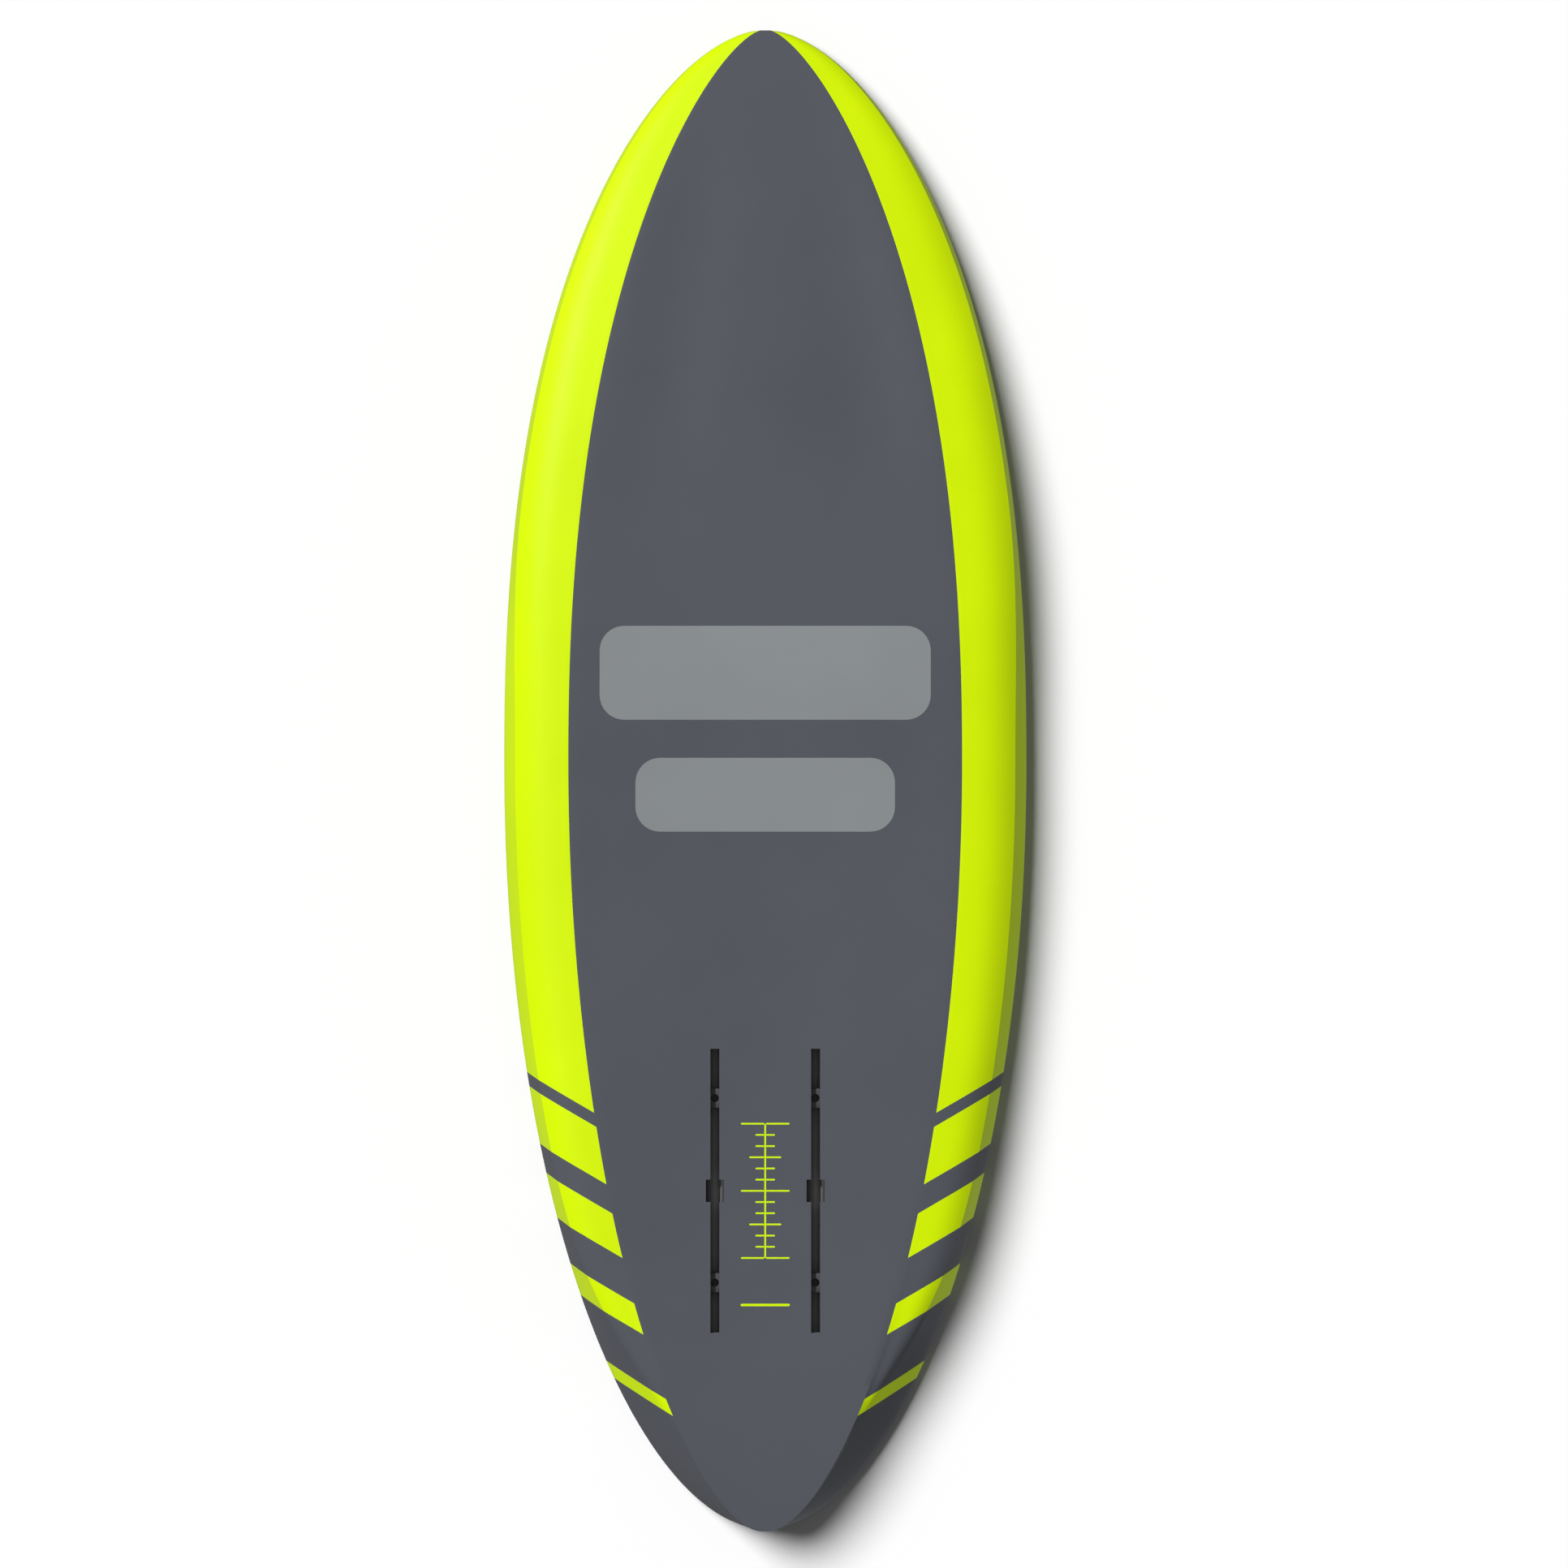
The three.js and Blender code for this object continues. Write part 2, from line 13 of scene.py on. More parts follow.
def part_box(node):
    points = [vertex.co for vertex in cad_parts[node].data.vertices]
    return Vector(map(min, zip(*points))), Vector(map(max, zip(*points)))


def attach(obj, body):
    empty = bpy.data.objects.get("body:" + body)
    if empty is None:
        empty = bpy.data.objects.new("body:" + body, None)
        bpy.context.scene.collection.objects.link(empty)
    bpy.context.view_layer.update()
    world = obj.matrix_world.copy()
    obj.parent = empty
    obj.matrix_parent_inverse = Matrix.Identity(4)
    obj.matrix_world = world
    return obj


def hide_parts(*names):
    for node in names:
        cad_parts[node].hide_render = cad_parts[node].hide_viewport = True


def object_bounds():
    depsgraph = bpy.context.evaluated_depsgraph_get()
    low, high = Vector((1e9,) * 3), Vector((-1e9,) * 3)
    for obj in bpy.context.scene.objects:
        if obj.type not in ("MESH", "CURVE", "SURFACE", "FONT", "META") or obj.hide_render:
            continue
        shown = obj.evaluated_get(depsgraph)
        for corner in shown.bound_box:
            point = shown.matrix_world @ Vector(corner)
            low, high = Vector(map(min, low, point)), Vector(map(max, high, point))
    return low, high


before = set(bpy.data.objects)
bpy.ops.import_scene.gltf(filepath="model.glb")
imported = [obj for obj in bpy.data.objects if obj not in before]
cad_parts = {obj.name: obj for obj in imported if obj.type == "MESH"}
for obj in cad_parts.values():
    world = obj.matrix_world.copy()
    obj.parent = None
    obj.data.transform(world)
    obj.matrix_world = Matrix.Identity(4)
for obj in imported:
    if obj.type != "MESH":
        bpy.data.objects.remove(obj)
cad_low, cad_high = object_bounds()

MM = 0.001

# ---- driving dimensions, as in the CAD ----

HALF_LENGTH = cad_high.y
HALF_WIDTH = cad_high.x
HULL_Z = cad_high.z
DECK_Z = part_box("deck_skin")[0].z + 3 * MM
WIDEST_Y = 15 * MM
SKIN = 2 * MM

OUTLINE = {"middle": HALF_WIDTH, "tip": 6.5 * MM, "nose": (2.374, 0.597), "tail": (2.05, 0.553)}
PANEL = {"middle": 176 * MM, "tip": 4 * MM, "nose": (2.27, 0.7), "tail": (1.98, 0.61)}

NOSE_ROCKER = 56 * MM
NOSE_ROCKER_START = -90 * MM
TAIL_ROCKER = 8 * MM
TAIL_ROCKER_START = -510 * MM
DECK_KICK = 3 * MM
DECK_KICK_START = 450 * MM
DECK_FLAT_SHARE = 0.66
CONCAVE = 3.2 * MM
CONCAVE_Y = (120 * MM, 650 * MM)
CONCAVE_SKEW = 1.3

# the rail's section, as (amidships, tail); it turns from one to the other along BEVEL_Y
BEVEL_Y = (-610 * MM, -150 * MM)
RAIL_HEIGHT = (0.33, 0.1)
SIDE_WIDTH = (0.18, 0.93)
SIDE_WIDTH_ONSET = 6
SIDE_HEIGHT = (0.64, 0.9)
CREASE_SLOPE = (0.13, 0.85)
CREASE_ONSET = 8
BEND_SLOPE = (0.7, 0.9)
NOSE_SIDE_WIDTH = 0.08
NARROWING_Y = (20 * MM, 250 * MM)
CURVE_HANDLES = (0.4, 0.35)
LEAST_FALL = 0.1
SIDE_HANDLES = ((0.45, 0.4), (1, 0.88))
LEAST_RAIL = 0.8 * MM
DECK_EDGE_RISE = 0.5
DECK_EDGE_RUN = 0.35

# ---- paint ----

STRIPE_SLOPE = math.tan(math.radians(30))
STRIPE_START = -386.5 * MM  # where the first grey stripe's front edge would meet the centreline
STRIPE_PERIOD = 57.6 * MM
STRIPE_UNIT = STRIPE_PERIOD / 5
STRIPES = 4

TRACK_X = 45 * MM
CHANNEL_HALF = 8.2 * MM

LIME = (0.66, 0.90, 0.0)
HULL_GREY = (0.088, 0.094, 0.110)
MARK_GREY = (0.245, 0.262, 0.270)


def clamp(value, low=0.0, high=1.0):
    return max(low, min(high, value))


def lerp(a, b, share):
    return a + (b - a) * share


def smoothstep(low, high, value):
    share = clamp((value - low) / (high - low))
    return share * share * (3 - 2 * share)


# ---- hull form ----


def half_width(curve, y):
    """Half width of a plan curve at y."""
    ahead = y > WIDEST_Y
    reach = HALF_LENGTH - WIDEST_Y if ahead else HALF_LENGTH + WIDEST_Y
    fullness, taper = curve["nose"] if ahead else curve["tail"]
    share = min(abs(y - WIDEST_Y) / reach, 1.0)
    return lerp(curve["tip"], curve["middle"], (1 - share**fullness) ** taper)


def panel_half(y):
    return min(half_width(PANEL, y), half_width(OUTLINE, y) - LEAST_RAIL)


def hull_height(y):
    nose = max(0.0, (y - NOSE_ROCKER_START) / (HALF_LENGTH - NOSE_ROCKER_START))
    tail = max(0.0, (TAIL_ROCKER_START - y) / (HALF_LENGTH + TAIL_ROCKER_START))
    return HULL_Z - NOSE_ROCKER * nose**3 - TAIL_ROCKER * tail**2


def deck_height(y):
    nose = max(0.0, (y - DECK_KICK_START) / (HALF_LENGTH - DECK_KICK_START))
    return DECK_Z - DECK_KICK * nose**2


def bevel_share(y):
    """How far the section has turned from the soft rail amidships to the bevelled tail."""
    return 1 - smoothstep(*BEVEL_Y, y)


def rail_height(y):
    return lerp(deck_height(y), hull_height(y), lerp(*RAIL_HEIGHT, bevel_share(y)))


def concave_depth(y, share):
    along = clamp((y - CONCAVE_Y[0]) / (CONCAVE_Y[1] - CONCAVE_Y[0]))
    return CONCAVE * math.sin(math.pi * along) ** 2 * math.sin(math.pi * share**CONCAVE_SKEW) ** 2


def bezier(points, t):
    a, b, c, d = points
    s = 1 - t
    weights = (s * s * s, 3 * s * s * t, 3 * s * t * t, t * t * t)
    return tuple(sum(w * p[i] for w, p in zip(weights, (a, b, c, d))) for i in (0, 1))


def side_width(y):
    """Width of the rail's steep side over the rail's whole width."""
    ahead = lerp(SIDE_WIDTH[0], NOSE_SIDE_WIDTH, smoothstep(*NARROWING_Y, y))
    return lerp(ahead, SIDE_WIDTH[1], bevel_share(y) ** SIDE_WIDTH_ONSET)


def hull_rail(y, inset, t):
    """A point (x, z) of the rail from the panel's edge, t = 0, to the widest line, t = 1."""
    half = half_width(OUTLINE, y) - inset
    panel = panel_half(y) - inset
    top = hull_height(y) - inset
    low = rail_height(y)
    tail = bevel_share(y)
    bend_x = lerp(half, panel, side_width(y))
    bend_z = lerp(low, top, lerp(*SIDE_HEIGHT, tail))
    if t > CURVE_SHARE:
        handles = [(lerp(bend_x, half, x), lerp(bend_z, low, z)) for x, z in SIDE_HANDLES]
        return bezier(((bend_x, bend_z), *handles, (half, low)), (t - CURVE_SHARE) / (1 - CURVE_SHARE))
    leaving = math.tan(lerp(*CREASE_SLOPE, tail**CREASE_ONSET))
    arriving = math.tan(lerp(*BEND_SLOPE, tail))
    first, last = (share * (bend_x - panel) for share in CURVE_HANDLES)
    highest = lerp(top, bend_z, LEAST_FALL)
    first_handle = (panel + first, top - leaving * first)
    last_handle = (bend_x - last, min(bend_z + arriving * last, highest))
    return bezier(((panel, top), first_handle, last_handle, (bend_x, bend_z)), t / CURVE_SHARE)


def deck_rail(y, inset, t):
    """A point (x, z) of the rail from the widest line, t = 0, to the flat deck, t = 1."""
    half = half_width(OUTLINE, y) - inset
    flat = DECK_FLAT_SHARE * half
    low = deck_height(y) + inset
    high = rail_height(y)
    handles = (half, lerp(high, low, DECK_EDGE_RISE)), (lerp(half, flat, DECK_EDGE_RUN), low)
    return bezier(((half, high), *handles, (flat, low)), t)


# ---- mesh helpers ----


def new_object(name, mesh, *materials):
    piece = bpy.data.objects.new(name, mesh)
    bpy.context.scene.collection.objects.link(piece)
    for material in materials:
        mesh.materials.append(material)
    return piece


def mesh_from(name, vertices, faces, sharp=30, materials=None):
    """A smooth-shaded mesh whose edges are sharp where it turns by more than the angle sharp."""
    mesh = bpy.data.meshes.new(name)
    mesh.from_pydata([tuple(v) for v in vertices], [], faces)
    mesh.validate()
    finish_mesh(mesh, sharp)
    if materials:
        mesh.polygons.foreach_set("material_index", materials)
    return mesh


def finish_mesh(mesh, sharp=30):
    work = bmesh.new()
    work.from_mesh(mesh)
    bmesh.ops.recalc_face_normals(work, faces=work.faces)
    work.to_mesh(mesh)
    work.free()
    mesh.shade_smooth()
    mesh.set_sharp_from_angle(angle=math.radians(sharp))
    mesh.update()


def ring_faces(rings, count, closed_rows=False, offset=0):
    """Quads between rings of count vertices, each ring a closed loop."""
    faces = []
    for r in range(rings if closed_rows else rings - 1):
        a, b = r * count, ((r + 1) % rings) * count
        for i in range(count):
            j = (i + 1) % count
            faces.append((offset + a + i, offset + a + j, offset + b + j, offset + b + i))
    return faces


def turned(name, profile, centre, sides=64, sharp=35):
    """A solid turned about a vertical axis from (radius, z) pairs that start and end on the axis,
    or that close on themselves when none has radius 0."""
    closed = profile[0][0] > 0
    rings = profile if closed else profile[1:-1]
    vertices = []
    for radius, z in rings:
        for i in range(sides):
            angle = 2 * math.pi * i / sides
            x, y = radius * math.cos(angle), radius * math.sin(angle)
            vertices.append((centre[0] + x, centre[1] + y, z))
    faces = ring_faces(len(rings), sides, closed_rows=closed)
    if not closed:
        faces.append(tuple(range(sides)))
        faces.append(tuple((len(rings) - 1) * sides + i for i in range(sides)))
    return mesh_from(name, vertices, faces, sharp)


def evaluated(piece):
    """Replaces a piece's mesh by the one its modifiers make."""
    graph = bpy.context.evaluated_depsgraph_get()
    mesh = bpy.data.meshes.new_from_object(piece.evaluated_get(graph), depsgraph=graph)
    old = piece.data
    piece.modifiers.clear()
    piece.data = mesh
    bpy.data.meshes.remove(old)
    return piece


def cut(piece, cutter):
    """Cuts one closed object out of another and removes the cutter."""
    boolean = piece.modifiers.new("cut", "BOOLEAN")
    boolean.operation = "DIFFERENCE"
    boolean.solver = "EXACT"
    boolean.object = cutter
    evaluated(piece)
    bpy.data.objects.remove(cutter)
    finish_mesh(piece.data)
    return piece


def box_parts(boxes):
    """Vertices and faces of separate boxes, each given by its low and high corner."""
    vertices, faces = [], []
    for low, high in boxes:
        start = len(vertices)
        corners = (low[0], low[1]), (high[0], low[1]), (high[0], high[1]), (low[0], high[1])
        for z in (low[2], high[2]):
            vertices += [(x, y, z) for x, y in corners]
        for quad in ((0, 3, 2, 1), (4, 5, 6, 7), (0, 1, 5, 4), (1, 2, 6, 5), (2, 3, 7, 6), (3, 0, 4, 7)):
            faces.append(tuple(start + i for i in quad))
    return vertices, faces


# ---- materials ----


class Shader:
    """A principled material with helpers for the pattern nodes behind it."""

    def __init__(self, name, color, roughness, **constants):
        self.material = bpy.data.materials.new(name)
        self.material.use_nodes = True
        self.nodes = self.material.node_tree.nodes
        self.links = self.material.node_tree.links
        self.surface = self.nodes["Principled BSDF"]
        self.surface.inputs["Base Color"].default_value = (*color, 1)
        self.surface.inputs["Roughness"].default_value = roughness
        for socket, value in constants.items():
            self.surface.inputs[socket.replace("_", " ")].default_value = value
        self.place = self.nodes.new("ShaderNodeTexCoord").outputs["Object"]

    def add(self, kind, **inputs):
        node = self.nodes.new(kind)
        for socket, value in inputs.items():
            target = node.inputs[socket.replace("_", " ")]
            if hasattr(value, "is_output"):
                self.links.new(value, target)
            else:
                target.default_value = value
        return node

    def noise(self, scale, detail=2.0, roughness=0.5):
        node = self.add("ShaderNodeTexNoise", Vector=self.place, Scale=scale, Detail=detail)
        node.inputs["Roughness"].default_value = roughness
        return node.outputs["Fac"]

    def ramp(self, source, *stops):
        """A ramp of (position, color) stops."""
        node = self.add("ShaderNodeValToRGB", Fac=source)
        elements = node.color_ramp.elements
        while len(elements) < len(stops):
            elements.new(0.5)
        for element, (position, color) in zip(elements, stops):
            element.position = position
            element.color = (*color, 1)
        return node.outputs["Color"]

    def span(self, source, low, high):
        """The source, 0 to 1, moved to the span from low to high."""
        node = self.add("ShaderNodeMapRange", Value=source)
        node.inputs["To Min"].default_value = low
        node.inputs["To Max"].default_value = high
        return node.outputs["Result"]

    def set(self, socket, source):
        self.links.new(source, self.surface.inputs[socket])

    def bump(self, height, distance, strength=1.0):
        node = self.add("ShaderNodeBump", Height=height, Strength=strength, Distance=distance)
        previous = self.surface.inputs["Normal"].links
        if previous:
            self.links.new(previous[0].from_socket, node.inputs["Normal"])
        self.links.new(node.outputs["Normal"], self.surface.inputs["Normal"])


def paint(name, color):
    """Sprayed paint under a clear coat: slight mottling, orange peel and a few worn patches."""
    shader = Shader(name, color, 0.45, Specular_IOR_Level=0.1)
    low = tuple(0.965 * c for c in color)
    high = tuple(1.035 * c for c in color)
    shader.set("Base Color", shader.ramp(shader.noise(6, 3), (0.35, low), (0.65, high)))
    shader.set("Roughness", shader.span(shader.noise(22, 5, 0.6), 0.36, 0.50))
    shader.bump(shader.noise(420, 2), 0.03 * MM, 0.25)
    return shader.material


def moulded_plastic(name, color):
    shader = Shader(name, color, 0.5, Specular_IOR_Level=0.3)
    low = tuple(0.85 * c for c in color)
    high = tuple(1.15 * c for c in color)
    shader.set("Base Color", shader.ramp(shader.noise(60, 3), (0.3, low), (0.7, high)))
    shader.set("Roughness", shader.span(shader.noise(300, 3), 0.45, 0.65))
    shader.bump(shader.noise(1800, 2), 0.04 * MM, 0.4)
    return shader.material


def painted_shade_track_plastic():
    """Moulded plastic with painted shade across its channel: pale down the middle, where light reaches
    its floor, and dark at the sides, where the walls shade it.
    """
    shader = Shader("painted_shade_track_plastic", (0.1, 0.1, 0.1), 0.6, Specular_IOR_Level=0.2)
    across = shader.add("ShaderNodeSeparateXYZ", Vector=shader.place).outputs["X"]
    for shift in (0, TRACK_X):
        moved = shader.add("ShaderNodeMath")
        moved.operation = "SUBTRACT"
        shader.links.new(across, moved.inputs[0])
        moved.inputs[1].default_value = shift
        folded = shader.add("ShaderNodeMath")
        folded.operation = "ABSOLUTE"
        shader.links.new(moved.outputs[0], folded.inputs[0])
        across = folded.outputs[0]
    share = shader.add("ShaderNodeMapRange", Value=across)
    share.inputs["From Max"].default_value = CHANNEL_HALF
    # painted shade: the colour falls from pale at the channel's middle to near black at its walls
    stops = [(0.0, (0.40,) * 3), (0.45, (0.22,) * 3), (1.0, (0.012,) * 3)]
    shader.set("Base Color", shader.ramp(share.outputs["Result"], *stops))
    shader.set("Roughness", shader.span(shader.noise(300, 3), 0.5, 0.7))
    shader.bump(shader.noise(1800, 2), 0.04 * MM, 0.4)
    return shader.material


def metal(name, color, roughness):
    shader = Shader(name, color, roughness, Metallic=1.0)
    stretched = shader.add("ShaderNodeMapping", Vector=shader.place, Scale=(40, 900, 900))
    lines = shader.add("ShaderNodeTexNoise", Vector=stretched.outputs["Vector"], Scale=1.0, Detail=3.0)
    shader.set("Roughness", shader.span(lines.outputs["Fac"], roughness - 0.08, roughness + 0.12))
    low = tuple(0.9 * c for c in color)
    shader.set("Base Color", shader.ramp(shader.noise(90, 2), (0.3, low), (0.7, color)))
    shader.bump(lines.outputs["Fac"], 0.01 * MM, 0.3)
    return shader.material


def polystyrene():
    """Fused beads about 4 mm across."""
    shader = Shader("core_foam", (0.88, 0.88, 0.85), 0.9, Specular_IOR_Level=0.2)
    beads = shader.add("ShaderNodeTexVoronoi", Vector=shader.place, Scale=240.0)
    distance = beads.outputs["Distance"]
    shader.set("Base Color", shader.ramp(distance, (0.2, (0.90, 0.90, 0.87)), (0.8, (0.72, 0.72, 0.69))))
    shader.set("Roughness", shader.span(shader.noise(40), 0.85, 0.95))
    shader.bump(distance, 0.4 * MM, 0.6)
    return shader.material


def dense_foam():
    shader = Shader("dense_foam", (0.60, 0.46, 0.20), 0.9, Specular_IOR_Level=0.2)
    cells = shader.noise(900, 4, 0.7)
    shader.set("Base Color", shader.ramp(cells, (0.35, (0.50, 0.38, 0.16)), (0.65, (0.66, 0.52, 0.25))))
    shader.set("Roughness", shader.span(cells, 0.8, 0.95))
    shader.bump(cells, 0.1 * MM, 0.5)
    return shader.material


def wood():
    shader = Shader("stringer_wood", (0.55, 0.33, 0.15), 0.65, Specular_IOR_Level=0.3)
    grain = shader.add("ShaderNodeMapping", Vector=shader.place, Scale=(60, 3, 60))
    rings = shader.add("ShaderNodeTexNoise", Vector=grain.outputs["Vector"], Scale=4.0, Detail=6.0)
    rings = rings.outputs["Fac"]
    shader.set("Base Color", shader.ramp(rings, (0.35, (0.36, 0.20, 0.08)), (0.62, (0.64, 0.42, 0.21))))
    shader.set("Roughness", shader.span(rings, 0.55, 0.75))
    shader.bump(rings, 0.1 * MM, 0.3)
    return shader.material


def pad_foam():
    """Closed-cell deck foam with fine pores and a brushed face."""
    shader = Shader("pad_foam", (0.028, 0.030, 0.034), 0.9, Specular_IOR_Level=0.2, Sheen_Weight=0.15)
    pores = shader.noise(1400, 4, 0.7)
    dark, pale = (0.020, 0.021, 0.024), (0.040, 0.043, 0.048)
    shader.set("Base Color", shader.ramp(pores, (0.35, dark), (0.65, pale)))
    shader.set("Roughness", shader.span(shader.noise(80), 0.82, 0.95))
    shader.bump(pores, 0.15 * MM, 0.5)
    return shader.material


def rubber():
    shader = Shader("seal_rubber", (0.015, 0.015, 0.015), 0.6, Specular_IOR_Level=0.4)
    shader.set("Roughness", shader.span(shader.noise(500), 0.5, 0.7))
    shader.bump(shader.noise(2500), 0.02 * MM, 0.3)
    return shader.material


def laminate_edge():
    """The cut edge of the skin: dark fibre with resin lines."""
    shader = Shader("laminate_edge", (0.03, 0.03, 0.035), 0.5, Specular_IOR_Level=0.4)
    layers = shader.add("ShaderNodeMapping", Vector=shader.place, Scale=(80, 80, 4000))
    plies = shader.add("ShaderNodeTexNoise", Vector=layers.outputs["Vector"], Scale=1.0, Detail=2.0)
    fac = plies.outputs["Fac"]
    shader.set("Base Color", shader.ramp(fac, (0.4, (0.015, 0.015, 0.018)), (0.6, (0.06, 0.06, 0.065))))
    shader.set("Roughness", shader.span(fac, 0.4, 0.6))
    return shader.material


GREY = paint("hull_grey", HULL_GREY)
LIME_PAINT = paint("rail_lime", LIME)
MARK = paint("mark_grey", MARK_GREY)
EDGE = laminate_edge()
FOAM = polystyrene()
DENSE = dense_foam()
WOOD = wood()
PLASTIC = moulded_plastic("black_plastic", (0.035, 0.035, 0.035))
PAINTED_SHADE_TRACK_PLASTIC = painted_shade_track_plastic()
BLACK_STEEL = metal("black_steel", (0.11, 0.11, 0.115), 0.55)
BRIGHT_STEEL = metal("bright_steel", (0.62, 0.63, 0.65), 0.25)
RUBBER = rubber()
PAD_FOAM = pad_foam()


# ---- the painted skins ----

PANEL_COLUMNS = 14
CURVE_COLUMNS = 14
SIDE_COLUMNS = 8
RAIL_COLUMNS = CURVE_COLUMNS + SIDE_COLUMNS
CURVE_SHARE = CURVE_COLUMNS / RAIL_COLUMNS
DECK_COLUMNS = 12
DECK_FLAT_COLUMNS = 6
ROWS_PER_END = 80


def stripe_edges():
    """(where the line meets the centreline, whether the paint behind it is grey) from nose to tail."""
    edges = []
    for k in range(1, STRIPES + 1):
        front = STRIPE_START - (k - 1) * STRIPE_PERIOD
        edges.append((front, True))
        edges.append((front - k * STRIPE_UNIT, False))
    edges.append((STRIPE_START - STRIPES * STRIPE_PERIOD, True))
    return edges


CROSSING_STEPS = 40
SLANT_STEPS = 12
SLANT_AHEAD_Y = (-290 * MM, -10 * MM)  # the slant dies away over this stretch
SLANT_TAIL_Y = (-668 * MM, -590 * MM)  # and over this one at the tip of the tail
LEAST_ROW_GAP = 3 * MM


def crease_crossing(centre_y):
    """Where a slanted stripe edge crosses the panel's crease."""
    y = centre_y
    for _ in range(CROSSING_STEPS):
        y = centre_y + STRIPE_SLOPE * panel_half(y)
    return y


def slant(crease_y):
    """How much the rows slant across the rail: as the stripes do, and not at all ahead or at the tip."""
    ahead = 1 - smoothstep(*SLANT_AHEAD_Y, crease_y)
    return STRIPE_SLOPE * ahead * smoothstep(*SLANT_TAIL_Y, crease_y)


def row_places():
    """Where the skin's rows cross the crease, tail to nose, with a row on each stripe edge."""
    edges = [crease_crossing(y) for y, _ in stripe_edges()]
    places = []
    for i in range(-ROWS_PER_END, ROWS_PER_END + 1):
        y = HALF_LENGTH * math.sin(math.pi / 2 * i / ROWS_PER_END)
        if all(abs(y - edge) > LEAST_ROW_GAP for edge in edges):
            places.append(y)
    return sorted(places + edges)


ROWS = row_places()
STRIPE_ROWS = [(crease_crossing(y), grey) for y, grey in stripe_edges()]


def grey_behind(row):
    """Whether the rail is grey between this row and the next one towards the nose."""
    middle = (ROWS[row] + ROWS[row + 1]) / 2
    grey = False
    for place, after in STRIPE_ROWS:
        if middle < place:
            grey = after
    return grey


def slanted_point(section, crease_y, start, t, inset):
    """A point of a rail section on a slanted row. start is (x, y) where the row leaves its last line."""
    y = start[1]
    for _ in range(SLANT_STEPS):
        x, z = section(y, inset, t)
        y = start[1] + slant(crease_y) * abs(x - start[0])
    return Vector((x, y, z))


def inset_place(point, inset):
    """Pulls a point's y in from the tips as the skin's inner face is."""
    return Vector((point.x, point.y * (HALF_LENGTH - inset) / HALF_LENGTH, point.z))


def hull_row(crease_y, inset):
    """The right half of a hull row, from the centreline to the widest line."""
    panel = panel_half(crease_y) - inset
    top = hull_height(crease_y) - inset
    points = []
    for i in range(PANEL_COLUMNS + 1):
        share = i / PANEL_COLUMNS
        points.append(Vector((share * panel, crease_y, top - concave_depth(crease_y, share))))
    for i in range(1, RAIL_COLUMNS + 1):
        t = i / RAIL_COLUMNS
        points.append(slanted_point(hull_rail, crease_y, (panel, crease_y), t, inset))
    return [inset_place(point, inset) for point in points]


def deck_row(crease_y, inset):
    """The right half of a deck row, from the widest line to the centreline."""
    panel = panel_half(crease_y) - inset
    widest = slanted_point(hull_rail, crease_y, (panel, crease_y), 1.0, inset)
    points = []
    for i in range(DECK_COLUMNS + 1):
        t = i / DECK_COLUMNS
        points.append(slanted_point(deck_rail, crease_y, (widest.x, widest.y), t, inset))
    flat = points[-1]
    for i in range(1, DECK_FLAT_COLUMNS + 1):
        share = 1 - i / DECK_FLAT_COLUMNS
        points.append(Vector((flat.x * share, flat.y, deck_height(flat.y) + inset)))
    return [inset_place(point, inset) for point in points]


def mirrored_row(row, centre_first):
    """A whole row from its right half, left to right for the hull and right to left for the deck."""
    left = [Vector((-p.x, p.y, p.z)) for p in row]
    return left[:0:-1] + row if centre_first else row + left[-2::-1]


def skin_mesh(name, row_at, centre_first, band):
    """A closed skin of thickness SKIN. band(column, columns) says whether a column is on the rail."""
    outer = [mirrored_row(row_at(y, 0.0), centre_first) for y in ROWS]
    inner = [mirrored_row(row_at(y, SKIN), centre_first) for y in ROWS]
    columns = len(outer[0])
    rows = len(ROWS)
    vertices = [p for row in outer for p in row] + [p for row in inner for p in row]
    shift = rows * columns
    faces, paints = [], []
    for r in range(rows - 1):
        grey_row = grey_behind(r)
        for c in range(columns - 1):
            a, b = r * columns + c, (r + 1) * columns + c
            faces.append((a, a + 1, b + 1, b))
            faces.append((shift + a, shift + b, shift + b + 1, shift + a + 1))
            lime = band(c, columns - 1) and not grey_row
            paints += [1 if lime else 0, 2]
    for r in (0, rows - 1):
        faces.append(tuple(r * columns + c for c in range(columns)))
        faces.append(tuple(shift + r * columns + c for c in range(columns)))
        paints += [0, 2]
    rim = [r * columns for r in range(rows)]
    rim += [r * columns + columns - 1 for r in reversed(range(rows))]
    for a, b in zip(rim, rim[1:] + rim[:1]):
        faces.append((a, b, shift + b, shift + a))
        paints.append(2)
    return mesh_from(name, vertices, faces, 30, paints)


def hull_band(column, count):
    return min(column, count - 1 - column) < RAIL_COLUMNS


def deck_band(column, count):
    return min(column, count - 1 - column) < DECK_COLUMNS


SLOT_HALF = (4 * MM, 127 * MM)  # half width and half length
ENTRY_HALF = (8 * MM, 10 * MM)
MOUTH_SINK = 1 * MM
MOUTH_RISE = 5 * MM
ROUND_GAP = 0.1 * MM
CUTTER_REACH = 5 * MM


def track_mouths():
    """The corners of the boxes that cut the slots and nut entries into the hull skin."""
    boxes = []
    for side in ("left", "right"):
        low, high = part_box(f"track_{side}")
        x, y = (low.x + high.x) / 2, (low.y + high.y) / 2
        for half_x, half_y in (SLOT_HALF, ENTRY_HALF):
            lowest = (x - half_x, y - half_y, high.z - MOUTH_SINK)
            highest = (x + half_x, y + half_y, HULL_Z + MOUTH_RISE)
            boxes.append((lowest, highest))
    return boxes


